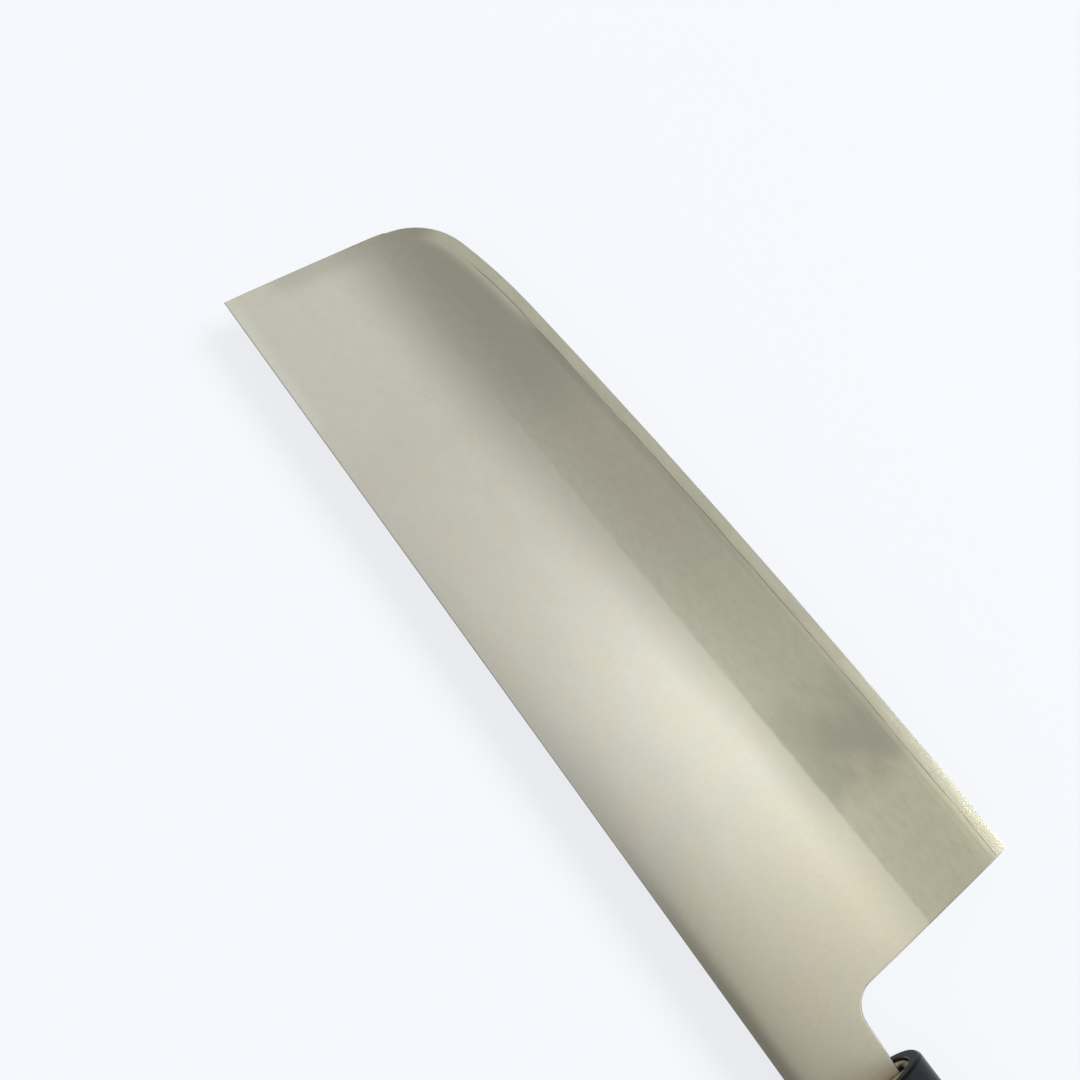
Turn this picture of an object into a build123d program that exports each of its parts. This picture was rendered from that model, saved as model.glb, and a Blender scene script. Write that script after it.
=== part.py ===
from build123d import *
import os
from math import cos, radians, sin, sqrt, tan

os.makedirs("parts", exist_ok=True)

# A nakiri, the straight-edged vegetable knife, lying on the left side of its handle.
# +X points from the butt to the toe, +Y to the spine and +Z out of the right face of the blade.
# The origin is under the middle of the whole knife, on the surface that it lies on.
# All lengths are millimetres and all angles are degrees.

# Blade outline, seen from the right
blade_length = 165.0
heel_depth = 52.5
toe_slant = 13.3
toe_flat = 33.5
corner_radius = 15.0
corner_turn = 63.2
belly_radius = 120.0
belly_turn = 9.0
choil_slant = 6.2
choil_radius = 5.0

# Neck and tang
neck_length = 16.3
neck_height = 15.9
neck_root_height = 16.6
tang_length = 92.0
tang_end_height = 9.0
tang_end_thickness = 2.0

# Thickness of the blade, from the neck to the cutting edge
neck_thickness = 3.0
toe_thickness = 1.7
core_thickness = 0.9
edge_thickness = 0.12
edge_grind_slope = 9.6
shoulder_cover = 0.05
shinogi_heel_depth = 34.5
shinogi_toe_depth = 29.2
cheek_start = 8.0

# Handle and ferrule, both of one D-shaped section that swells a little towards the butt
handle_length = 123.2
handle_axis_depth = 8.15
front_height = 24.6
front_left = 9.6
front_right = 10.4
butt_height = 26.5
butt_left = 10.6
butt_right = 11.4
butt_round = 1.6
ferrule_length = 24.0
ferrule_wall = 2.25
rim_round = 0.7
spigot_recess = 0.5

# Shape of the D: how full its two flanks are, and how tight its ridge is
flank_fullness_share = 0.66
ridge_fullness_share = 0.52
ridge_tightness_share = 0.3

# Fits and overruns
glue_gap = 0.05
slot_side_gap = 0.15
slot_top_gap = 0.3
slot_mouth_gap = 0.9
slot_end_gap = 3.0
overrun = 5.0

grind_stations = 7


# Places that follow from the sizes above
overall_length = handle_length + neck_length + blade_length
butt_x = -overall_length / 2
ferrule_front_x = butt_x + handle_length
ferrule_back_x = ferrule_front_x - ferrule_length
tang_end_x = ferrule_front_x - tang_length
heel_x = ferrule_front_x + neck_length
toe_x = heel_x + blade_length
cheek_start_x = heel_x - cheek_start

handle_top_rise = butt_height / 2 - handle_axis_depth
spine_y = (heel_depth - handle_top_rise) / 2
handle_y = spine_y - handle_axis_depth
middle_z = butt_left

core_top = core_thickness / 2
edge_top = edge_thickness / 2
blank_top = neck_thickness / 2


def heading(angle):
    return Vector(cos(radians(angle)), sin(radians(angle)))


def square_to(angle):
    return heading(angle - 90)


# Round corner at the toe, turned clockwise from the slanted front into the belly of the edge
front_heading = 270 - toe_slant
corner_heading = front_heading - corner_turn
belly_heading = corner_heading - belly_turn
toe_top = Vector(toe_x, spine_y)
front_end = toe_top + heading(front_heading) * toe_flat
corner_centre = front_end + square_to(front_heading) * corner_radius
corner_end = corner_centre - square_to(corner_heading) * corner_radius
belly_centre = corner_end + square_to(corner_heading) * belly_radius
belly_end = belly_centre - square_to(belly_heading) * belly_radius
heel = Vector(heel_x, spine_y - heel_depth)

# The rest of the edge is one long arc, tangent to the belly and ending at the heel
edge_arc = TangentArc(belly_end, heel, tangent=heading(belly_heading))
edge_centre = edge_arc.arc_center
edge_radius = edge_arc.radius


def edge_y(x):
    return edge_centre.Y - sqrt(edge_radius**2 - (x - edge_centre.X) ** 2)


def edge_inset(rise):
    """How far back from the outline the edge grind reaches at a rise above the middle plane."""
    return (rise - edge_top) / tan(radians(edge_grind_slope))


def steel_outline(rise):
    """Blade, neck and tang at a rise above the middle plane, with the ground edge set back."""
    inset = edge_inset(rise)
    inner_corner_end = corner_end + square_to(corner_heading) * inset
    inner_belly_end = belly_end + square_to(belly_heading) * inset
    choil_heading = heading(90 + choil_slant)
    inner_heel = heel + choil_heading * (inset / cos(radians(choil_slant)))
    choil_rise = heel_depth - neck_root_height
    neck_root = heel + choil_heading * (choil_rise / cos(radians(choil_slant)))
    neck_end = (ferrule_front_x, spine_y - neck_height)
    tang_end_low = (tang_end_x, handle_y - tang_end_height / 2)
    tang_end_high = (tang_end_x, handle_y + tang_end_height / 2)
    with BuildSketch(Plane.XY.offset(middle_z + rise)) as outline:
        with BuildLine():
            Line(toe_top, front_end)
            TangentArc(inner_corner_end, front_end, tangent=heading(corner_heading) * -1)
            TangentArc(inner_corner_end, inner_belly_end, tangent=heading(corner_heading))
            TangentArc(inner_belly_end, inner_heel, tangent=heading(belly_heading))
            Polyline(inner_heel, neck_root, neck_end, tang_end_low, tang_end_high)
            Polyline(tang_end_high, (ferrule_front_x, spine_y), toe_top)
        make_face()
        fillet(outline.vertices().sort_by_distance(neck_root)[0], radius=choil_radius)
    return outline.sketch


def d_section(x, height, left, right):
    """D-shaped section across the handle: full on the left, with a soft ridge on the right."""
    half = height / 2
    full = flank_fullness_share
    keen = ridge_fullness_share
    tight = ridge_tightness_share
    with BuildSketch(Plane(origin=(x, handle_y, middle_z), x_dir=(0, 1, 0), z_dir=(1, 0, 0))) as section:
        with BuildLine():
            Bezier((half, 0), (half, -left * full), (half * full, -left), (0, -left))
            Bezier((0, -left), (-half * full, -left), (-half, -left * full), (-half, 0))
            Bezier((-half, 0), (-half, right * keen), (-half * tight, right), (0, right))
            Bezier((0, right), (half * tight, right), (half, right * keen), (half, 0))
        make_face()
    return section.sketch


def handle_blank():
    """Solid of the whole handle, ferrule included, before it is parted and bored."""
    butt = d_section(butt_x, butt_height, butt_left, butt_right)
    front = d_section(ferrule_front_x, front_height, front_left, front_right)
    loft([butt, front], ruled=True)


# Core: the hard middle layer, ground to the cutting edge on both faces
with BuildPart() as blade_core:
    loft([steel_outline(edge_top), steel_outline(core_top)], ruled=True)
    extrude(steel_outline(edge_top), amount=-edge_top)
    mirror(about=Plane.XY.offset(middle_z))
blade_core.part.label = "blade_core"

# Right cladding: soft steel over the core, thinned towards the toe and along the tang
with BuildPart() as right_cladding:
    loft([steel_outline(core_top), steel_outline(blank_top)], ruled=True)
    clad_top_z = middle_z + blank_top
    cheek_fall = (blank_top - toe_thickness / 2) / (toe_x - cheek_start_x)
    far_x = toe_x + overrun
    far_z = clad_top_z - cheek_fall * (far_x - cheek_start_x)
    with BuildSketch(Plane.XZ):
        with BuildLine():
            Polyline(
                (cheek_start_x, clad_top_z),
                (far_x, far_z),
                (far_x, clad_top_z + overrun),
                (cheek_start_x, clad_top_z + overrun),
                close=True,
            )
        make_face()
    extrude(amount=heel_depth, both=True, mode=Mode.SUBTRACT)

    tang_fall = (blank_top - tang_end_thickness / 2) / tang_length
    back_x = tang_end_x - overrun
    back_z = clad_top_z - tang_fall * (ferrule_front_x - back_x)
    with BuildSketch(Plane.XZ):
        with BuildLine():
            Polyline(
                (ferrule_front_x, clad_top_z),
                (back_x, back_z),
                (back_x, clad_top_z + overrun),
                (ferrule_front_x, clad_top_z + overrun),
                close=True,
            )
        make_face()
    extrude(amount=heel_depth, both=True, mode=Mode.SUBTRACT)

    # Wide bevel, from the shinogi line on the cheek down to the shoulder of the edge grind
    shoulder_top = core_top + shoulder_cover
    grind_start_x = heel_x - overrun
    grind_step = (far_x - grind_start_x) / (grind_stations - 1)
    for station in range(grind_stations):
        x = grind_start_x + grind_step * station
        cheek_top = blank_top - cheek_fall * (x - cheek_start_x)
        along = (x - heel_x) / blade_length
        shinogi_depth = shinogi_heel_depth + (shinogi_toe_depth - shinogi_heel_depth) * along
        shinogi_y = spine_y - shinogi_depth
        shoulder_y = edge_y(x) + edge_inset(shoulder_top)
        slope = (cheek_top - shoulder_top) / (shinogi_y - shoulder_y)
        low_y = shoulder_y - overrun
        high_y = shinogi_y + overrun
        with BuildSketch(Plane.YZ.offset(x)):
            with BuildLine():
                Polyline(
                    (low_y, middle_z + shoulder_top - slope * overrun),
                    (high_y, middle_z + cheek_top + slope * overrun),
                    (high_y, clad_top_z + overrun),
                    (low_y, clad_top_z + overrun),
                    close=True,
                )
            make_face()
    loft(mode=Mode.SUBTRACT)
right_cladding.part.label = "right_cladding"

# Left cladding: the same layer on the other face
with BuildPart() as left_cladding:
    mirror(right_cladding.part, about=Plane.XY.offset(middle_z))
left_cladding.part.label = "left_cladding"

# Ferrule: black collar over the handle's spigot, with a softened front rim
bore_height = front_height - 2 * ferrule_wall
bore_left = front_left - ferrule_wall
bore_right = front_right - ferrule_wall
with BuildPart() as ferrule:
    handle_blank()
    split(bisect_by=Plane.YZ.offset(ferrule_back_x), keep=Keep.TOP)
    fillet(ferrule.faces().sort_by(Axis.X)[-1].edges(), radius=rim_round)
    bore = d_section(ferrule_back_x, bore_height, bore_left, bore_right)
    extrude(bore, amount=ferrule_length, mode=Mode.SUBTRACT)
ferrule.part.label = "ferrule"

# Handle: pale wood, with a spigot inside the ferrule and a slot burnt in for the tang
spigot_height = bore_height - 2 * glue_gap
spigot_left = bore_left - glue_gap
spigot_right = bore_right - glue_gap
spigot_front_x = ferrule_front_x - spigot_recess
slot_end_x = tang_end_x - slot_end_gap
with BuildPart() as handle:
    handle_blank()
    split(bisect_by=Plane.YZ.offset(ferrule_back_x), keep=Keep.BOTTOM)
    fillet(handle.faces().sort_by(Axis.X)[0].edges(), radius=butt_round)
    spigot = d_section(ferrule_back_x, spigot_height, spigot_left, spigot_right)
    extrude(spigot, amount=spigot_front_x - ferrule_back_x)

    mouth_low = spine_y - neck_height - slot_mouth_gap
    mouth_high = spine_y + slot_top_gap
    mouth_half = neck_thickness / 2 + slot_side_gap
    slot_low = handle_y - tang_end_height / 2 - slot_top_gap
    slot_high = handle_y + tang_end_height / 2 + slot_top_gap
    slot_half = tang_end_thickness / 2 + slot_side_gap
    with BuildSketch(Plane.YZ.offset(tang_end_x)) as slot_end:
        with BuildLine():
            Polyline(
                (slot_low, middle_z - slot_half),
                (slot_high, middle_z - slot_half),
                (slot_high, middle_z + slot_half),
                (slot_low, middle_z + slot_half),
                close=True,
            )
        make_face()
    with BuildSketch(Plane.YZ.offset(ferrule_front_x)):
        with BuildLine():
            Polyline(
                (mouth_low, middle_z - mouth_half),
                (mouth_high, middle_z - mouth_half),
                (mouth_high, middle_z + mouth_half),
                (mouth_low, middle_z + mouth_half),
                close=True,
            )
        make_face()
    loft(ruled=True, mode=Mode.SUBTRACT)
    extrude(slot_end.sketch, amount=slot_end_x - tang_end_x, mode=Mode.SUBTRACT)
handle.part.label = "handle"

export_step(blade_core.part, "parts/blade_core.step")
export_step(right_cladding.part, "parts/right_cladding.step")
export_step(left_cladding.part, "parts/left_cladding.step")
export_step(ferrule.part, "parts/ferrule.step")
export_step(handle.part, "parts/handle.step")
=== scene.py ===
import math

import bpy
from mathutils import Euler, Matrix, Vector, geometry, noise


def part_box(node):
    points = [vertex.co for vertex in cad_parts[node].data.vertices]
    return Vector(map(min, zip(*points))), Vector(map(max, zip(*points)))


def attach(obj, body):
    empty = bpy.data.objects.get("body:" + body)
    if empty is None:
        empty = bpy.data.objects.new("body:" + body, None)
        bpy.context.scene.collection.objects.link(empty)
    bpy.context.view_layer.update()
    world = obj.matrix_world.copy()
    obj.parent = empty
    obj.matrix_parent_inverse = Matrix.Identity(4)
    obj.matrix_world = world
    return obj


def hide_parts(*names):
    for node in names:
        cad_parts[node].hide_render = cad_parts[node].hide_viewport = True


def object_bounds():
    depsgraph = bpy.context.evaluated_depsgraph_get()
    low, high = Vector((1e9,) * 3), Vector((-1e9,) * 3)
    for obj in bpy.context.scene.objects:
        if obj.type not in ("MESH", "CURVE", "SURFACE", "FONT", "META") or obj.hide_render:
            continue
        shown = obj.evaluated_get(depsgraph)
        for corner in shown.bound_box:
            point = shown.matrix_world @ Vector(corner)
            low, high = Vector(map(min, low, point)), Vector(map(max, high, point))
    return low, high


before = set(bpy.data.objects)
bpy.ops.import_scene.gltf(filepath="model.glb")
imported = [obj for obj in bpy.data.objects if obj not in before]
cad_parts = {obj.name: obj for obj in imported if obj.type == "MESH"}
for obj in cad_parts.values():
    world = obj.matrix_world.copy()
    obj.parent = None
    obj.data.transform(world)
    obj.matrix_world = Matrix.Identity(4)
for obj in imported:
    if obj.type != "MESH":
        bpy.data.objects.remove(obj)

cad_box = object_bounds()


# Studio: a pale floor under a pale dome, seen by a camera that looks down on the right face of the blade.
# A wide soft lamp on the edge side throws the short soft shadow to the spine side and lights all that is
# dull. Only its bright middle shows in what is glossy, so that is a lamp of its own. A slim panel overhead is
# the bright patch in the steel, and the dome is dark where whoever takes the picture stands.
mm = 0.001
camera_place = (25.86, 11.21, 232.68)
camera_turn = (11.756, 5.935, -126.167)
sensor_width = 36.0
focal_pixels = 1255
frame_pixels = 1080

backdrop_tone = "#F6F8FC"
floor_width = 8000
floor_drop = 0.02
floor_shadow_share = 0.2

dome_glow = 1.0
dome_light = 0.5
shade_direction = (-0.284, 0.217, 1.0)
shade_inner_angle = 4
shade_outer_angle = 18.7

blade_middle = (48, 0, 11)
soft_direction = (-0.325, -0.83, 1.0)
soft_distance = 4000
soft_size = (2000, 1700)
soft_watts = 120
key_direction = (-0.33, -0.69, 0.71)
key_distance = 2000
key_size = (1000, 470)
key_watts = 34
panel_place = (38, -47, 620)
panel_turn = 32
panel_size = (205, 58)
panel_watts = 0.095


def metres(place):
    """A place in millimetres as a vector in metres."""
    return Vector(place) * mm


def linear(tone):
    """A hex colour, as it is seen, as the linear colour that a shader takes."""
    channels = [int(tone[start : start + 2], 16) / 255 for start in (1, 3, 5)]
    return [c / 12.92 if c <= 0.04045 else ((c + 0.055) / 1.055) ** 2.4 for c in channels] + [1]


def add(tree, kind, inputs=None, **settings):
    """Adds a node, sets its settings, and links or fills the inputs, named or numbered, that are given."""
    made = tree.nodes.new(kind)
    for name, value in settings.items():
        setattr(made, name, value)
    for name, value in (inputs or {}).items():
        if isinstance(value, bpy.types.Node):
            value = next(socket for socket in value.outputs if socket.enabled)
        if isinstance(value, bpy.types.NodeSocket):
            tree.links.new(value, made.inputs[name])
        else:
            made.inputs[name].default_value = value
    return made


def bare_tree(holder):
    """The node tree of a new material or world, emptied."""
    holder.use_nodes = True
    holder.node_tree.nodes.clear()
    return holder.node_tree


def aim(lamp, place, target, long_direction):
    """Puts a lamp at a place, facing a target, with its long side in a direction."""
    back = (Vector(place) - Vector(target)).normalized()
    long_side = Vector(long_direction)
    long_side = (long_side - back * long_side.dot(back)).normalized()
    lamp.location = metres(place)
    lamp.rotation_euler = Matrix((long_side, back.cross(long_side), back)).transposed().to_euler()


bpy.ops.object.select_all(action="DESELECT")
scene = bpy.context.scene
scene.view_settings.view_transform = "Standard"
camera = bpy.data.objects.new("camera", bpy.data.cameras.new("camera"))
camera.data.sensor_width = sensor_width
camera.data.lens = sensor_width * focal_pixels / frame_pixels
camera.data.clip_start = 0.01
camera.location = metres(camera_place)
camera.rotation_euler = Euler([math.radians(angle) for angle in camera_turn])
scene.collection.objects.link(camera)
scene.camera = camera

# Floor paper: matte card that also shows its own pale colour, so that only the knife's shadow marks it
paper = bpy.data.materials.new("backdrop_card")
tree = bare_tree(paper)
rays = add(tree, "ShaderNodeLightPath").outputs
seen = add(tree, "ShaderNodeMath", {0: rays["Is Camera Ray"], 1: rays["Is Glossy Ray"]}, operation="MAXIMUM")
seen = add(tree, "ShaderNodeMath", {0: seen, 1: rays["Is Transmission Ray"]}, operation="MAXIMUM")
glow_share = add(tree, "ShaderNodeMath", {0: seen, 1: 1 - floor_shadow_share}, operation="MULTIPLY")
matte = add(tree, "ShaderNodeBsdfDiffuse", {"Color": linear(backdrop_tone)})
glow = add(tree, "ShaderNodeEmission", {"Color": linear(backdrop_tone)})
card = add(tree, "ShaderNodeMixShader", {0: glow_share, 1: matte, 2: glow})
add(tree, "ShaderNodeOutputMaterial", {"Surface": card})

bpy.ops.mesh.primitive_plane_add(size=floor_width * mm, location=(0, 0, cad_box[0].z - floor_drop * mm))
floor = bpy.context.object
floor.name = "studio_floor"
floor.data.materials.append(paper)

# Dome: one pale colour for all that sees it, dark round one direction, and half as bright where it lights
dome = bpy.data.worlds.new("dome")
scene.world = dome
tree = bare_tree(dome)
look = add(tree, "ShaderNodeTexCoord").outputs["Generated"]
towards_shade = Vector(shade_direction).normalized()
nearness = add(tree, "ShaderNodeVectorMath", {0: look, 1: towards_shade}, operation="DOT_PRODUCT")
shade_range = {
    "Value": nearness.outputs["Value"],
    "From Min": math.cos(math.radians(shade_outer_angle)),
    "From Max": math.cos(math.radians(shade_inner_angle)),
    "To Min": dome_glow,
    "To Max": 0,
}
shade = add(tree, "ShaderNodeMapRange", shade_range, interpolation_type="SMOOTHSTEP")
rays = add(tree, "ShaderNodeLightPath").outputs
seen = add(tree, "ShaderNodeMath", {0: rays["Is Camera Ray"], 1: rays["Is Glossy Ray"]}, operation="MAXIMUM")
seen = add(tree, "ShaderNodeMath", {0: seen, 1: rays["Is Transmission Ray"]}, operation="MAXIMUM")
shown = add(tree, "ShaderNodeBackground", {"Color": linear(backdrop_tone), "Strength": shade})
light = add(tree, "ShaderNodeBackground", {"Color": linear(backdrop_tone), "Strength": dome_light})
both = add(tree, "ShaderNodeMixShader", {0: seen, 1: light, 2: shown})
add(tree, "ShaderNodeOutputWorld", {"Surface": both})

soft_place = Vector(blade_middle) + Vector(soft_direction).normalized() * soft_distance
key_place = Vector(blade_middle) + Vector(key_direction).normalized() * key_distance
panel_long = (math.cos(math.radians(panel_turn)), math.sin(math.radians(panel_turn)), 0)
panel_target = (panel_place[0], panel_place[1], 0)
for name, place, target, long_direction, size, watts in (
    ("soft_lamp", soft_place, blade_middle, (1, 0, 0), soft_size, soft_watts),
    ("key_lamp", key_place, blade_middle, (1, 0, 0), key_size, key_watts),
    ("overhead_panel", panel_place, panel_target, panel_long, panel_size, panel_watts),
):
    lamp = bpy.data.objects.new(name, bpy.data.lights.new(name, "AREA"))
    lamp.data.shape = "ELLIPSE"
    lamp.data.size = size[0] * mm
    lamp.data.size_y = size[1] * mm
    lamp.data.energy = watts
    lamp.visible_glossy = name != "soft_lamp"
    lamp.visible_diffuse = name != "key_lamp"
    aim(lamp, place, target, long_direction)
    scene.collection.objects.link(lamp)


# Blade core: the hard steel bar in the middle of a forge-welded blank, with the neck and the tang in one
# with it. It is bare only in the narrow band that is ground to the cutting edge, outside a thin dark weld
# line that wavers a little, and it ends in a fine steeper bevel.
core_low, core_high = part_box("blade_core")
heel = min((vertex.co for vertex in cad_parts["blade_core"].data.vertices), key=lambda place: place.y)
heel_x = heel.x
toe_x = core_high.x
spine_y = core_high.y
middle_z = (core_low.z + core_high.z) / 2
core_rise = core_high.z - middle_z

column_step = 1.5 * mm
column_lead = 8 * mm
grind_zone_depth = 20 * mm

edge_grind_slope = math.tan(math.radians(9.6))
edge_rise = 0.06 * mm
sharp_rise = 0.05 * mm
fine_bevel_width = 0.4 * mm
weld_rim_width = 0.16 * mm
belly_width = 1.15 * mm
belly_rise = 0.008 * mm

weld_waver = 0.16 * mm
weld_waver_length = 11 * mm
weld_kink = 0.07 * mm
weld_kink_length = 3.2 * mm
weld_fade_y = -11 * mm
weld_fade_length = 6 * mm

touch = 1e-6
far_from_weld = 12 * mm


def merged_copy(node_name, piece_name, flat_angle):
    """A new piece from a packed one, with nearly flat faces joined, left in edit mode."""
    piece = bpy.data.objects.new(piece_name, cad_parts[node_name].data.copy())
    piece.data.materials.clear()
    scene.collection.objects.link(piece)
    bpy.ops.object.select_all(action="DESELECT")
    piece.select_set(True)
    bpy.context.view_layer.objects.active = piece
    bpy.ops.object.mode_set(mode="EDIT")
    bpy.ops.mesh.select_mode(type="FACE")
    bpy.ops.mesh.select_all(action="SELECT")
    bpy.ops.mesh.customdata_custom_splitnormals_clear()
    bpy.ops.mesh.remove_doubles(threshold=touch / 10)
    bpy.ops.mesh.dissolve_limited(angle_limit=math.radians(flat_angle))
    bpy.ops.mesh.mark_sharp(clear=True)
    return piece


def pick_faces(piece, wanted):
    """Selects the faces that wanted says yes to, in edit mode."""
    bpy.ops.object.mode_set(mode="OBJECT")
    for face in piece.data.polygons:
        face.select = wanted(face)
    bpy.ops.object.mode_set(mode="EDIT")


def slice_faces(piece, wanted, points, normal):
    """Cuts the wanted faces along parallel planes, one through each point."""
    for point in points:
        pick_faces(piece, wanted)
        bpy.ops.mesh.bisect(plane_co=point, plane_no=normal, threshold=touch)


def smooth(piece, angle):
    """Shades a piece smooth, but for the edges that turn by more than an angle, with flat faces kept flat."""
    bpy.ops.object.select_all(action="DESELECT")
    piece.select_set(True)
    bpy.context.view_layer.objects.active = piece
    bpy.ops.object.shade_smooth_by_angle(angle=math.radians(angle))
    bpy.ops.object.modifier_add(type="WEIGHTED_NORMAL")
    piece.modifiers[-1].keep_sharp = True
    bpy.ops.object.modifier_apply(modifier=piece.modifiers[-1].name)


def on_grind(face):
    """True on the slanted faces that run down to the edge."""
    return 0.3 < abs(face.normal.z) < 0.995 and face.center.y < spine_y - grind_zone_depth


def line_places(piece, rise):
    """Each ground point at a rise from the middle, by vertex number, with the level way to the edge."""
    outward = {}
    for face in filter(on_grind, piece.data.polygons):
        for number in face.vertices:
            if abs(abs(piece.data.vertices[number].co.z - middle_z) - rise) < touch:
                level = Vector((face.normal.x, face.normal.y, 0)).normalized()
                outward[number] = outward.get(number, Vector()) + level
    return {number: direction.normalized() for number, direction in outward.items()}


def weld_distance(place):
    """Level distance from a place to the weld line."""
    best = far_from_weld
    for low, high in zip(weld_points, weld_points[1:]):
        if abs(low.x - place.x) < far_from_weld:
            near, share = geometry.intersect_point_line(place.xy, low.xy, high.xy)
            best = min(best, (place.xy - low.xy.lerp(high.xy, min(max(share, 0), 1))).length)
    return best


def waver(piece, outward):
    """Lets points stray along the ground surface, as the seam between two forged bars does."""
    for number, direction in outward.items():
        place = piece.data.vertices[number].co
        level_place = Vector((place.x, place.y, 0))
        long_wave = noise.noise(level_place / weld_waver_length) * weld_waver
        kink = noise.noise(level_place / weld_kink_length) * weld_kink
        fade = min(max((weld_fade_y - place.y) / weld_fade_length, 0), 1)
        shift = (long_wave + kink) * fade
        fall = shift * direction.length * edge_grind_slope
        place += direction * shift - Vector((0, 0, math.copysign(1, place.z - middle_z) * fall))


def store(piece, name, values):
    """Stores one value for each point of a piece, for a material to read."""
    attribute = piece.data.attributes.new(name, "FLOAT", "POINT")
    attribute.data.foreach_set("value", values)


first_column_x = heel_x - column_lead
column_count = math.floor((toe_x - first_column_x) / column_step)
columns = [Vector((first_column_x + column_step * count, 0, 0)) for count in range(column_count)]

core = merged_copy("blade_core", "blade_core_steel", 0.02)
slice_faces(core, lambda face: True, columns, (1, 0, 0))
rim_rise = core_rise - weld_rim_width * edge_grind_slope
belly_line_rise = core_rise - belly_width * edge_grind_slope
fine_bevel_rise = edge_rise + fine_bevel_width * edge_grind_slope
for rise in (rim_rise, belly_line_rise, fine_bevel_rise):
    slice_faces(core, on_grind, [Vector((0, 0, middle_z + rise)), Vector((0, 0, middle_z - rise))], (0, 0, 1))
bpy.ops.object.mode_set(mode="OBJECT")
core_weld = line_places(core, core_rise)
core_rim = line_places(core, rim_rise)
core_belly = line_places(core, belly_line_rise)
weld_points = [core.data.vertices[number].co.copy() for number in core_weld]
weld_points = [place for place in weld_points if place.z > middle_z]
weld_points.sort(key=lambda place: (place.x, place.y))
core_from_weld = []
core_from_edge = []
for vertex in core.data.vertices:
    rise = abs(vertex.co.z - middle_z)
    core_from_weld.append(0 if rise > core_rise - touch else -weld_distance(vertex.co))
    core_from_edge.append(0 if rise < edge_rise + touch else 1)
waver(core, core_weld)
waver(core, core_rim)
for vertex in core.data.vertices:
    rise = abs(vertex.co.z - middle_z)
    if vertex.index in core_belly:
        rise += belly_rise
    elif rise < edge_rise + touch:
        rise = sharp_rise
    vertex.co.z = middle_z + math.copysign(rise, vertex.co.z - middle_z)
store(core, "from_weld", core_from_weld)
store(core, "from_edge", core_from_edge)
smooth(core, 4)

# Core steel: high-carbon steel, stone-ground and left a warm grey, a cooler grey along the very edge and dark
# in the seam of the weld. The band fades into the bevel at the round corner of the toe. The strokes of the
# stone run straight across it, drawn as coarse as they need to show.
edge_light_start = 3.0 * mm
edge_light_end = -2.0 * mm
edge_light_toe_start = 142 * mm
edge_light_toe_end = 136 * mm
seam_fade_start = 134 * mm
seam_fade_end = 127 * mm
band_tone = "#B4B19B"
seam_tone = "#574A33"

core_steel = bpy.data.materials.new("stone_ground_carbon_steel")
tree = bare_tree(core_steel)
place = add(tree, "ShaderNodeTexCoord").outputs["Object"]
along = add(tree, "ShaderNodeSeparateXYZ", {0: place}).outputs["X"]
from_weld = add(tree, "ShaderNodeAttribute", attribute_name="from_weld").outputs["Fac"]
from_edge = add(tree, "ShaderNodeAttribute", attribute_name="from_edge").outputs["Fac"]
grains = {}
for name, size in (("haze", (5, 2, 2)), ("strokes", (0.5, 4, 2)), ("seam_haze", (9, 9, 9))):
    scaled = add(tree, "ShaderNodeMapping", {0: place, "Scale": [1 / (length * mm) for length in size]})
    grains[name] = add(tree, "ShaderNodeTexNoise", {"Vector": scaled, "Scale": 1, "Detail": 3})
shares = {}
for name, value, low, high in (
    ("edge_light", from_weld, edge_light_start, edge_light_end),
    ("before_corner", along, edge_light_toe_start, edge_light_toe_end),
    ("seam", from_weld, -weld_rim_width, -weld_rim_width / 3),
    ("seam_shown", along, seam_fade_start, seam_fade_end),
    ("seam_dark", grains["seam_haze"], 0.1, 0.6),
):
    steps = {"Value": value, "From Min": low, "From Max": high}
    shares[name] = add(tree, "ShaderNodeMapRange", steps, interpolation_type="SMOOTHSTEP")
steps = {0: shares["edge_light"], 1: shares["before_corner"]}
edge_light = add(tree, "ShaderNodeMath", steps, operation="MULTIPLY")
seam = add(tree, "ShaderNodeMath", {0: shares["seam"], 1: shares["seam_shown"]}, operation="MULTIPLY")
seam = add(tree, "ShaderNodeMath", {0: seam, 1: shares["seam_dark"]}, operation="MULTIPLY")
tone = linear("#918F80")
for value, low, high, most, over in (
    (edge_light, 0.0, 1.0, 1.0, band_tone),
    (grains["haze"], 0.35, 0.65, 0.25, "#9A9884"),
    (from_edge, 1.0, 0.4, 0.5, "#A9AAA4"),
    (seam, 0.0, 1.0, 0.6, seam_tone),
):
    steps = {"Value": value, "From Min": low, "From Max": high, "To Max": most}
    share = add(tree, "ShaderNodeMapRange", steps, interpolation_type="SMOOTHSTEP")
    tone = add(tree, "ShaderNodeMix", {0: share, 6: tone, 7: linear(over)}, data_type="RGBA")
bump = add(tree, "ShaderNodeBump", {"Strength": 0.005, "Distance": 0.02 * mm, "Height": grains["strokes"]})
rough = {"Value": grains["strokes"], "From Min": 0.3, "From Max": 0.7, "To Min": 0.18, "To Max": 0.19}
rough = add(tree, "ShaderNodeMapRange", rough)
look = {"Base Color": tone, "Metallic": 1, "Roughness": rough, "Normal": bump}
add(tree, "ShaderNodeOutputMaterial", {"Surface": add(tree, "ShaderNodeBsdfPrincipled", look)})

core.data.materials.append(core_steel)
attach(core, "root")
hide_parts("blade_core")


# Cladding: soft stainless steel over both faces of the core, forge-welded to it. The cheek is left satin and
# rolls off a little to the spine. The wide bevel is ground on stones, and the shinogi line between the two
# is crisp at the heel and dissolves in a soft turn towards the toe. Spine, choil and neck are eased.
ring_steps = (0.4 * mm, 0.5 * mm, 0.6 * mm, 0.8 * mm, 1.2 * mm)
row_step = 1.0 * mm
rows_up = 14 * mm
rows_down = 20 * mm
spine_rows = (5 * mm, 7 * mm, 10 * mm, 14 * mm)

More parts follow.
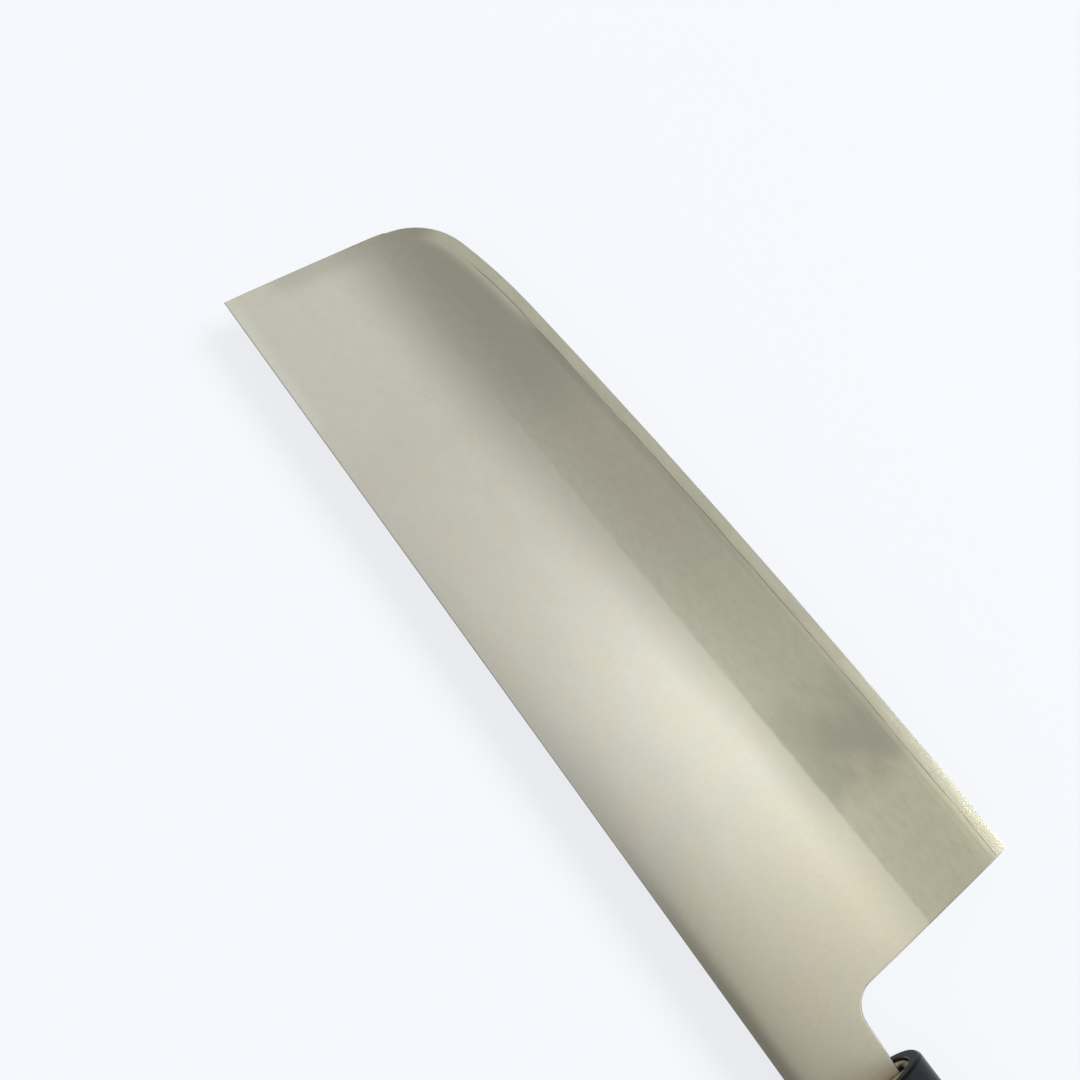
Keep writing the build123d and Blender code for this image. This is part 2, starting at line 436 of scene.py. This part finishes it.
shinogi_heel_depth = 34.5 * mm
shinogi_toe_depth = 29.2 * mm
crisp_width = 0.7 * mm
crisp_share_at_heel = 0.4
crisp_share_at_toe = 0.05
soft_above_heel = 7.5 * mm
soft_above_toe = 12 * mm
soft_below_heel = 0.5 * mm
soft_below_toe = 3 * mm
soften_start_x = 25 * mm
soften_end_x = 110 * mm

roll_fall_at_heel = 0.25 * mm
roll_fall_at_toe = 0.1 * mm
roll_length = 2.4 * mm

shoulder_width = 1.5 * mm
shoulder_blend = 0.16 * mm
corner_start_x = 128 * mm
foot_sample = 6 * mm

arris_width = 0.14 * mm
arris_floor_rise = 0.6 * mm
blade_start_x = heel_x - 4.5 * mm
neck_inside_ferrule = 4 * mm
neck_start_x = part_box("ferrule")[1].x - neck_inside_ferrule

shinogi_slope = (shinogi_heel_depth - shinogi_toe_depth) / (toe_x - heel_x)
front_lean = math.tan(math.radians(13.3))


def on_top(face):
    """True on the faces that look away from the core, the steep start of the slant at the toe too."""
    return face.normal.z > 0.1


def on_flats(face):
    """True on the cheek, the wide bevel and the neck, but not on the slant down to the edge."""
    return face.normal.z > 0.99


def shinogi_y(x):
    """Where the shinogi line runs, between the cheek and the wide bevel."""
    return spine_y - shinogi_heel_depth + (x - heel_x) * shinogi_slope


def towards_toe(x, at_heel, at_toe):
    """A size that changes evenly along the stretch where the shinogi line softens."""
    along = min(max((x - soften_start_x) / (soften_end_x - soften_start_x), 0), 1)
    return at_heel + (at_toe - at_heel) * along


def eased_drop(below, width):
    """Length below a line, rounded in over a width."""
    if abs(below) > width / 2:
        return max(below, 0)
    return (below + width / 2) ** 2 / (2 * width)


cladding = merged_copy("right_cladding", "right_cladding_steel", 0.2)
bpy.ops.object.mode_set(mode="OBJECT")
cheek = max(filter(on_flats, cladding.data.polygons), key=lambda face: face.area)
cheek_place = cheek.center.copy()
cheek_fall = cheek.normal.x / cheek.normal.z
pick_faces(cladding, on_flats)
for step in ring_steps:
    bpy.ops.mesh.inset(thickness=step)
slice_faces(cladding, lambda face: True, columns, (1, 0, 0))
row_normal = Vector((-shinogi_slope, 1, 0))
row_count = round((rows_up + rows_down) / row_step)
rows = [Vector((0, shinogi_y(0) + rows_up - row_step * count, 0)) for count in range(row_count)]
rows += [Vector((0, shinogi_y(0) + side * crisp_width / 2, 0)) for side in (-1, 1)]
slice_faces(cladding, on_top, rows, row_normal)
slice_faces(cladding, on_top, [Vector((0, spine_y - depth, 0)) for depth in spine_rows], (0, 1, 0))
bpy.ops.object.mode_set(mode="OBJECT")

weld_line = line_places(cladding, core_rise)


def cheek_z(x):
    """Height of the flat cheek, which thins towards the toe."""
    return cheek_place.z - (x - cheek_place.x) * cheek_fall


def foot_y(x):
    """Where the wide bevel would meet the weld line if the edge had no round corner at the toe."""
    if x > corner_start_x:
        near = foot_y(corner_start_x)
        return near + (x - corner_start_x) * (near - foot_y(corner_start_x - foot_sample)) / foot_sample
    after = next(i for i, point in enumerate(weld_points) if point.x >= x and i)
    low, high = weld_points[after - 1], weld_points[after]
    return low.y + (high.y - low.y) * (x - low.x) / (high.x - low.x)


def ground_z(place):
    """Height of the ground face: cheek, soft shinogi, wide bevel and rounded shoulder."""
    shoulder_z = middle_z + core_rise + shoulder_width * edge_grind_slope
    above = towards_toe(place.x, soft_above_heel, soft_above_toe)
    under = towards_toe(place.x, soft_below_heel, soft_below_toe)
    crisp_share = towards_toe(place.x, crisp_share_at_heel, crisp_share_at_toe)
    lift = (above - under) / 2
    below = shinogi_y(place.x) - place.y
    reach = shinogi_y(place.x) - foot_y(place.x) - shoulder_width
    slope = (cheek_z(place.x) - shoulder_z) / (reach + lift * (1 - crisp_share))
    soft = eased_drop(below + lift, above + under) * (1 - crisp_share)
    crisp = eased_drop(below, crisp_width) * crisp_share
    bevel_z = cheek_z(place.x) - slope * (soft + crisp)
    grind_z = middle_z + core_rise + weld_distance(place) * edge_grind_slope
    overlap = max(1 - abs(bevel_z - grind_z) / shoulder_blend, 0)
    return min(bevel_z, grind_z) - shoulder_blend / 4 * overlap**2


def ease_edges(piece, width, wanted):
    """Rounds the edges that wanted says yes to, given an edge's two ends and its faces' normals."""
    bpy.ops.object.mode_set(mode="EDIT")
    bpy.ops.mesh.select_mode(type="EDGE")
    bpy.ops.mesh.select_all(action="DESELECT")
    bpy.ops.object.mode_set(mode="OBJECT")
    normals = {}
    for face in piece.data.polygons:
        for key in face.edge_keys:
            normals.setdefault(key, []).append(face.normal.copy())
    for edge in piece.data.edges:
        ends = [piece.data.vertices[number].co for number in edge.vertices]
        edge.select = wanted(ends, normals[edge.key])
    bpy.ops.object.mode_set(mode="EDIT")
    bpy.ops.mesh.bevel(offset=width, segments=3, affect="EDGES")
    bpy.ops.object.mode_set(mode="OBJECT")


def shown_arris(ends, normals):
    """True on the edge between the top and the upright border of the blade and neck, where it is thick."""
    low_z, high_z = sorted(normal.z for normal in normals)
    high_enough = all(end.z > middle_z + arris_floor_rise for end in ends)
    shown = all(end.x > neck_start_x for end in ends)
    return abs(low_z) < 0.1 and high_z > 0.9 and high_enough and shown


top_numbers = {number for face in filter(on_top, cladding.data.polygons) for number in face.vertices}
for number in top_numbers - set(weld_line):
    place = cladding.data.vertices[number].co
    soft_start_y = shinogi_y(place.x) + towards_toe(place.x, soft_above_heel, soft_above_toe)
    if place.x > blade_start_x and place.y < soft_start_y:
        place.z = ground_z(place)
    if place.x > neck_start_x:
        roll_fall = towards_toe(place.x, roll_fall_at_heel, roll_fall_at_toe)
        place.z -= roll_fall * math.exp((place.y - spine_y) / roll_length)
from_weld = [0 if point.index in weld_line else weld_distance(point.co) for point in cladding.data.vertices]
store(cladding, "from_weld", from_weld)
straying = dict(weld_line)
for number in top_numbers - set(weld_line):
    if from_weld[number] < shoulder_width:
        place = cladding.data.vertices[number].co
        nearest = min(weld_line, key=lambda other: (cladding.data.vertices[other].co - place).length)
        straying[number] = weld_line[nearest] * (1 - from_weld[number] / shoulder_width)
waver(cladding, straying)
ease_edges(cladding, arris_width, shown_arris)

left_cladding = bpy.data.objects.new("left_cladding_steel", cladding.data.copy())
scene.collection.objects.link(left_cladding)
for vertex in left_cladding.data.vertices:
    vertex.co.z = 2 * middle_z - vertex.co.z
left_cladding.data.flip_normals()

# Cladding steel: stainless, rubbed satin with fine marks from the spine to the edge on the cheek. The wide
# bevel is hazy and cloudy from the stones, darker towards the toe and palest at the heel. The cheek is a
# faintly uneven grey, with a painted warm reflection at the heel, painted light towards the toe and
# painted shade down the front. Its spine has painted shade at the heel and a painted sheen at the toe. The
# weld's seam is dark, and the borders and the shoulder by the weld, short of the toe, have painted shade.
# All marks are drawn as coarse as they need to show.
clad_steel = bpy.data.materials.new("satin_stainless_cladding")
tree = bare_tree(clad_steel)
texture_place = add(tree, "ShaderNodeTexCoord").outputs
place = texture_place["Object"]
parts = add(tree, "ShaderNodeSeparateXYZ", {0: place}).outputs
along, across = parts["X"], parts["Y"]
facing = add(tree, "ShaderNodeSeparateXYZ", {0: texture_place["Normal"]}).outputs["Z"]
facing = add(tree, "ShaderNodeMath", {0: facing}, operation="ABSOLUTE")
# painted shade: the eased edges and upright walls darken as they turn away from the face
border = add(tree, "ShaderNodeMapRange", {"Value": facing, "From Min": 0.98, "From Max": 0.93})
from_weld = add(tree, "ShaderNodeAttribute", attribute_name="from_weld").outputs["Fac"]
grains = {}
for name, size, detail in (
    ("wobble", (3, 3, 3), 0.5),
    ("cloud", (14, 7, 7), 0.6),
    ("tint", (8, 6, 6), 0.6),
    ("mottle", (2.2, 1.3, 1.3), 0.7),
    ("satin_marks", (0.35, 2, 2), 0.7),
    ("stone_marks", (2.5, 0.5, 2), 0.6),
    ("seam_haze", (9, 9, 9), 0.6),
):
    scaled = add(tree, "ShaderNodeMapping", {0: place, "Scale": [1 / (length * mm) for length in size]})
    look = {"Vector": scaled, "Scale": 1, "Detail": 3, "Roughness": detail}
    grains[name] = add(tree, "ShaderNodeTexNoise", look)

# How far the surface is stone-ground rather than satin: a soft and a crisp step at the shinogi line
line_y = add(tree, "ShaderNodeMath", {0: along, 1: shinogi_slope, 2: shinogi_y(0)}, operation="MULTIPLY_ADD")
height = add(tree, "ShaderNodeMath", {0: across, 1: line_y}, operation="SUBTRACT")
stray = {0: grains["wobble"], 1: 0.6 * mm, 2: -0.3 * mm}
stray = add(tree, "ShaderNodeMath", stray, operation="MULTIPLY_ADD")
height = add(tree, "ShaderNodeMath", {0: height, 1: stray}, operation="ADD")
sizes = {}
for name, at_heel, at_toe in (
    ("above", soft_above_heel, soft_above_toe),
    ("under", -soft_below_heel, -soft_below_toe),
    ("crisp", crisp_share_at_heel, crisp_share_at_toe),
):
    steps = {"From Min": soften_start_x, "From Max": soften_end_x, "To Min": at_heel, "To Max": at_toe}
    sizes[name] = add(tree, "ShaderNodeMapRange", {"Value": along, **steps})
lean = {0: across, 1: front_lean, 2: toe_x - spine_y * front_lean}
from_front = add(tree, "ShaderNodeMath", lean, operation="MULTIPLY_ADD")
from_front = add(tree, "ShaderNodeMath", {0: from_front, 1: along}, operation="SUBTRACT")
shares = {}
for name, value, low, high in (
    ("soft_step", height, sizes["above"], sizes["under"]),
    ("crisp_step", height, crisp_width / 2, -crisp_width / 2),
    ("edge_light", from_weld, edge_light_start, edge_light_end),
    ("before_corner", along, edge_light_toe_start, edge_light_toe_end),
    ("shoulder", from_weld, 2.4 * mm, 0),
    ("before_toe", along, 118 * mm, 106 * mm),
    ("near_front", from_front, 7 * mm, 0),
    ("under_tip", across, spine_y - 5 * mm, spine_y - 14 * mm),
    ("near_spine", across, spine_y - 4 * mm, spine_y),
    ("towards_heel", along, 45 * mm, -12 * mm),
    ("towards_tip", along, 108 * mm, 128 * mm),
    ("seam", from_weld, 0.12 * mm, 0.03 * mm),
    ("seam_shown", along, seam_fade_start, seam_fade_end),
    ("seam_dark", grains["seam_haze"], 0.1, 0.6),
):
    steps = {"Value": value, "From Min": low, "From Max": high}
    shares[name] = add(tree, "ShaderNodeMapRange", steps, interpolation_type="SMOOTHSTEP")
steps = {0: sizes["crisp"], 2: shares["soft_step"], 3: shares["crisp_step"]}
stoned = add(tree, "ShaderNodeMix", steps, data_type="FLOAT")
at_toe = add(tree, "ShaderNodeMath", {0: 1, 1: shares["before_toe"]}, operation="SUBTRACT")
steps = {0: shares["edge_light"], 1: shares["before_corner"]}
edge_light = add(tree, "ShaderNodeMath", steps, operation="MULTIPLY")
edge_light = add(tree, "ShaderNodeMath", {0: edge_light, 1: at_toe}, operation="MULTIPLY")
zones = {}
for name, one, other in (
    ("shoulder", "shoulder", "before_toe"),
    ("front", "near_front", "under_tip"),
    ("sheen_spine", "near_spine", "towards_tip"),
    ("shaded_spine", "near_spine", "towards_heel"),
    ("seam", "seam", "seam_shown"),
):
    zones[name] = add(tree, "ShaderNodeMath", {0: shares[one], 1: shares[other]}, operation="MULTIPLY")
seam = add(tree, "ShaderNodeMath", {0: zones["seam"], 1: shares["seam_dark"]}, operation="MULTIPLY")
heel_cloud = {0: grains["cloud"], 1: -26 * mm, 2: along}
heel_cloud = add(tree, "ShaderNodeMath", heel_cloud, operation="MULTIPLY_ADD")

looks = []
for tone, layers in (
    (
        linear("#C1C0B3"),
        (
            (grains["cloud"], 0.3, 0.7, 1.0, "#C7C5B8"),
            (grains["tint"], 0.35, 0.65, 1.0, "#C7C2B1"),
            # painted light: the cheek is lighter towards the toe
            (along, 100 * mm, 135 * mm, 0.5, "#D0CDBC"),
            # painted warm reflection on the cheek near the heel
            (along, 35 * mm, -15 * mm, 0.5, "#E1D6B4"),
            # painted shade down the front of the cheek, under the tip
            (zones["front"], 0.0, 1.0, 0.35, "#8F8E7F"),
            # painted sheen on the spine's roll towards the tip
            (zones["sheen_spine"], 0.0, 1.0, 0.3, "#E4E2D4"),
            # painted shade on the spine's roll at the heel
            (zones["shaded_spine"], 0.0, 1.0, 0.5, "#625E52"),
            (grains["satin_marks"], 0.3, 0.7, 0.2, "#B0AE9F"),
        ),
    ),
    (
        linear("#A5A38F"),
        (
            (along, 35 * mm, 70 * mm, 1.0, "#9E9A89"),
            (along, 86 * mm, 106 * mm, 1.0, "#928F80"),
            (heel_cloud, 20 * mm, 4 * mm, 0.8, "#8F8D7C"),
            (heel_cloud, 3 * mm, -10 * mm, 1.0, "#AEA991"),
            (height, -8 * mm, 0, 0.3, "#B6B4A3"),
            (grains["mottle"], 0.3, 0.75, 0.22, "#8A8675"),
        ),
    ),
):
    for value, low, high, most, over in layers:
        steps = {"Value": value, "From Min": low, "From Max": high, "To Max": most}
        share = add(tree, "ShaderNodeMapRange", steps, interpolation_type="SMOOTHSTEP")
        tone = add(tree, "ShaderNodeMix", {0: share, 6: tone, 7: linear(over)}, data_type="RGBA")
    looks.append(tone)
tone = add(tree, "ShaderNodeMix", {0: stoned, 6: looks[0], 7: looks[1]}, data_type="RGBA")
for value, low, high, most, over in (
    # painted shade on the rounded shoulder by the weld, short of the toe
    (zones["shoulder"], 0.0, 1.0, 0.4, "#6E6C60"),
    (edge_light, 0.0, 1.0, 1.0, band_tone),
    (seam, 0.0, 1.0, 0.6, seam_tone),
    # painted shade on the eased edges and upright walls
    (border, 0.0, 1.0, 0.9, "#35342E"),
):
    steps = {"Value": value, "From Min": low, "From Max": high, "To Max": most}
    share = add(tree, "ShaderNodeMapRange", steps, interpolation_type="SMOOTHSTEP")
    tone = add(tree, "ShaderNodeMix", {0: share, 6: tone, 7: linear(over)}, data_type="RGBA")
marks = {0: stoned, 2: grains["satin_marks"], 3: grains["stone_marks"]}
marks = add(tree, "ShaderNodeMix", marks, data_type="FLOAT")
bump = add(tree, "ShaderNodeBump", {"Strength": 0.04, "Distance": 0.02 * mm, "Height": marks})
turned = {"vector_type": "VECTOR", "convert_from": "OBJECT", "convert_to": "WORLD"}
tangent = add(tree, "ShaderNodeVectorTransform", {0: (1, 0, 0)}, **turned)
rough = add(tree, "ShaderNodeMapRange", {"Value": border, "To Min": 0.3, "To Max": 0.7})
look = {"Base Color": tone, "Metallic": 1, "Roughness": rough, "Anisotropic": 0.6, "Normal": bump}
look["Tangent"] = tangent
add(tree, "ShaderNodeOutputMaterial", {"Surface": add(tree, "ShaderNodeBsdfPrincipled", look)})

for piece, node_name in ((cladding, "right_cladding"), (left_cladding, "left_cladding")):
    smooth(piece, 30)
    piece.data.materials.append(clad_steel)
    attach(piece, "root")
    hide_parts(node_name)


# Handle: one piece of ho, a pale and very even magnolia wood, D-shaped and sanded but not varnished. Its
# front is turned down to a spigot for the ferrule, and the slot for the tang is burnt in, which chars it.
handle_low, handle_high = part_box("handle")
handle_y = (handle_low.y + handle_high.y) / 2
slot_end_x = core_low.x - 3 * mm

mouth_ease = 0.3 * mm
sharp_turn = 0.8
char_and_shade_half_width = 2.1 * mm
char_and_shade_half_height = 9.4 * mm

handle = merged_copy("handle", "handle_ho_wood", 0.2)
bpy.ops.object.mode_set(mode="OBJECT")


def on_front(ends, normals):
    """True on the rims of the face in which the slot opens."""
    turned = normals[0].dot(normals[1]) < sharp_turn
    return turned and all(abs(end.x - handle_high.x) < touch for end in ends)


ease_edges(handle, mouth_ease, on_front)
smooth(handle, 35)

# Ho wood: annual rings as faint lines round a far centre, fine fibres along the handle and short dark pores,
# drawn as coarse as they need to show. The ends are a little darker, and the slot and its mouth are charred
# and carry painted shade on top of the char.
ho_wood = bpy.data.materials.new("ho_magnolia_wood")
ring_centre = Vector((0, handle_y + 46 * mm, middle_z - 62 * mm))
ring_pitch = 2.3 * mm
tree = bare_tree(ho_wood)
texture_place = add(tree, "ShaderNodeTexCoord").outputs
place = texture_place["Object"]
grains = {}
for name, size, detail in (
    ("drift", (60, 9, 9), 0.5),
    ("fibres", (22, 0.35, 0.35), 0.6),
    ("pores", (3.5, 0.22, 0.22), 0.4),
    ("scorch_and_shade", (1.2, 1.2, 1.2), 0.6),
):
    scaled = add(tree, "ShaderNodeMapping", {0: place, "Scale": [1 / (length * mm) for length in size]})
    look = {"Vector": scaled, "Scale": 1, "Detail": 3, "Roughness": detail}
    grains[name] = add(tree, "ShaderNodeTexNoise", look)
section_place = add(tree, "ShaderNodeVectorMath", {0: place, 1: (0, 1, 1)}, operation="MULTIPLY")
ring_radius = add(tree, "ShaderNodeVectorMath", {0: section_place, 1: ring_centre}, operation="DISTANCE")
ring_radius = {0: grains["drift"], 1: 5 * mm, 2: ring_radius.outputs["Value"]}
ring_radius = add(tree, "ShaderNodeMath", ring_radius, operation="MULTIPLY_ADD")
ring_count = add(tree, "ShaderNodeMath", {0: ring_radius, 1: ring_pitch}, operation="DIVIDE")
ring = add(tree, "ShaderNodeMath", {0: ring_count}, operation="FRACT")
end_grain = add(tree, "ShaderNodeSeparateXYZ", {0: texture_place["Normal"]})
end_grain = add(tree, "ShaderNodeMath", {0: end_grain}, operation="ABSOLUTE")
parts = add(tree, "ShaderNodeSeparateXYZ", {0: place}).outputs
from_slot = []
for axis, middle, half in (("Y", handle_y, char_and_shade_half_height), ("Z", middle_z, char_and_shade_half_width)):
    offset = add(tree, "ShaderNodeMath", {0: parts[axis], 1: middle}, operation="SUBTRACT")
    offset = add(tree, "ShaderNodeMath", {0: offset}, operation="ABSOLUTE")
    from_slot.append(add(tree, "ShaderNodeMath", {0: offset, 1: half}, operation="SUBTRACT"))
behind_slot = add(tree, "ShaderNodeMath", {0: slot_end_x, 1: parts["X"]}, operation="SUBTRACT")
outside = add(tree, "ShaderNodeMath", {0: from_slot[0], 1: from_slot[1]}, operation="MAXIMUM")
outside = add(tree, "ShaderNodeMath", {0: outside, 1: behind_slot}, operation="MAXIMUM")
outside = {0: grains["scorch_and_shade"], 1: 1.2 * mm, 2: outside}
outside = add(tree, "ShaderNodeMath", outside, operation="MULTIPLY_ADD")
tone = linear("#D3BE97")
for value, low, high, most, over in (
    (grains["drift"], 0.35, 0.65, 0.6, "#C8B088"),
    (grains["fibres"], 0.35, 0.7, 0.45, "#BFA477"),
    (ring, 0.6, 0.98, 0.4, "#B39163"),
    (grains["pores"], 0.62, 0.72, 0.5, "#9B7B50"),
    (end_grain, 0.8, 0.98, 0.6, "#9A8253"),
    # char with painted shade round the slot and in its mouth
    (outside, 1.6 * mm, 0.3 * mm, 0.8, "#4A3A1C"),
    (outside, 0.55 * mm, 0.1 * mm, 0.97, "#120D09"),
):
    steps = {"Value": value, "From Min": low, "From Max": high, "To Max": most}
    share = add(tree, "ShaderNodeMapRange", steps, interpolation_type="SMOOTHSTEP")
    tone = add(tree, "ShaderNodeMix", {0: share, 6: tone, 7: linear(over)}, data_type="RGBA")
bump = add(tree, "ShaderNodeBump", {"Strength": 0.2, "Distance": 0.05 * mm, "Height": grains["fibres"]})
steps = {"Value": grains["fibres"], "From Min": 0.3, "From Max": 0.7, "To Min": 0.5, "To Max": 0.65}
rough = add(tree, "ShaderNodeMapRange", steps)
look = {"Base Color": tone, "Roughness": rough, "Normal": bump}
add(tree, "ShaderNodeOutputMaterial", {"Surface": add(tree, "ShaderNodeBsdfPrincipled", look)})

handle.data.materials.append(ho_wood)
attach(handle, "root")
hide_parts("handle")


# Ferrule: a collar of black resin, pressed and glued over the spigot so that the wood can't split when the
# tang is driven in. Its sides are polished, and its front is left matte from the saw and a file.
ferrule = merged_copy("ferrule", "ferrule_black_resin", 0.2)
bpy.ops.object.mode_set(mode="OBJECT")
ferrule_front_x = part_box("ferrule")[1].x


def on_bore_rim(ends, normals):
    """True on the rim where the bore opens in the front."""
    turned = normals[0].dot(normals[1]) < sharp_turn
    return turned and all(abs(end.x - ferrule_front_x) < touch for end in ends)


ease_edges(ferrule, mouth_ease, on_bore_rim)
smooth(ferrule, 35)

# Black resin: moulded and dyed through, glossy where polished, painted shade round the rim, grey where filed
black_resin = bpy.data.materials.new("black_moulded_resin")
tree = bare_tree(black_resin)
texture_place = add(tree, "ShaderNodeTexCoord").outputs
grains = {}
for name, size, detail in (("flow", (26, 2, 2), 0.6), ("file_marks", (0.5, 0.3, 2.5), 0.6)):
    scaled = {0: texture_place["Object"], "Scale": [1 / (length * mm) for length in size]}
    look = {"Vector": add(tree, "ShaderNodeMapping", scaled), "Scale": 1, "Detail": 3, "Roughness": detail}
    grains[name] = add(tree, "ShaderNodeTexNoise", look)
facing = add(tree, "ShaderNodeSeparateXYZ", {0: texture_place["Normal"]})
filed = add(tree, "ShaderNodeMapRange", {"Value": facing, "From Min": 0.85, "From Max": 0.98})
tone = linear("#1A1C22")
for value, low, high, most, over in (
    (grains["flow"], 0.45, 0.75, 0.5, "#22252B"),
    # painted shade: the rounded rim between the front and the sides is darkened by its turn
    (facing, 0.1, 0.4, 1.0, "#020304"),
    (filed, 0.0, 1.0, 1.0, "#1B201E"),
):
    steps = {"Value": value, "From Min": low, "From Max": high, "To Max": most}
    share = add(tree, "ShaderNodeMapRange", steps, interpolation_type="SMOOTHSTEP")
    tone = add(tree, "ShaderNodeMix", {0: share, 6: tone, 7: linear(over)}, data_type="RGBA")
rough = add(tree, "ShaderNodeMapRange", {"Value": filed, "To Min": 0.2, "To Max": 0.6})
bump = {"Strength": 0.1, "Distance": 0.03 * mm, "Height": grains["file_marks"]}
bump = add(tree, "ShaderNodeBump", bump)
look = {"Base Color": tone, "Roughness": rough, "Specular IOR Level": 0.12, "Normal": bump}
add(tree, "ShaderNodeOutputMaterial", {"Surface": add(tree, "ShaderNodeBsdfPrincipled", look)})

ferrule.data.materials.append(black_resin)
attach(ferrule, "root")
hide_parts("ferrule")
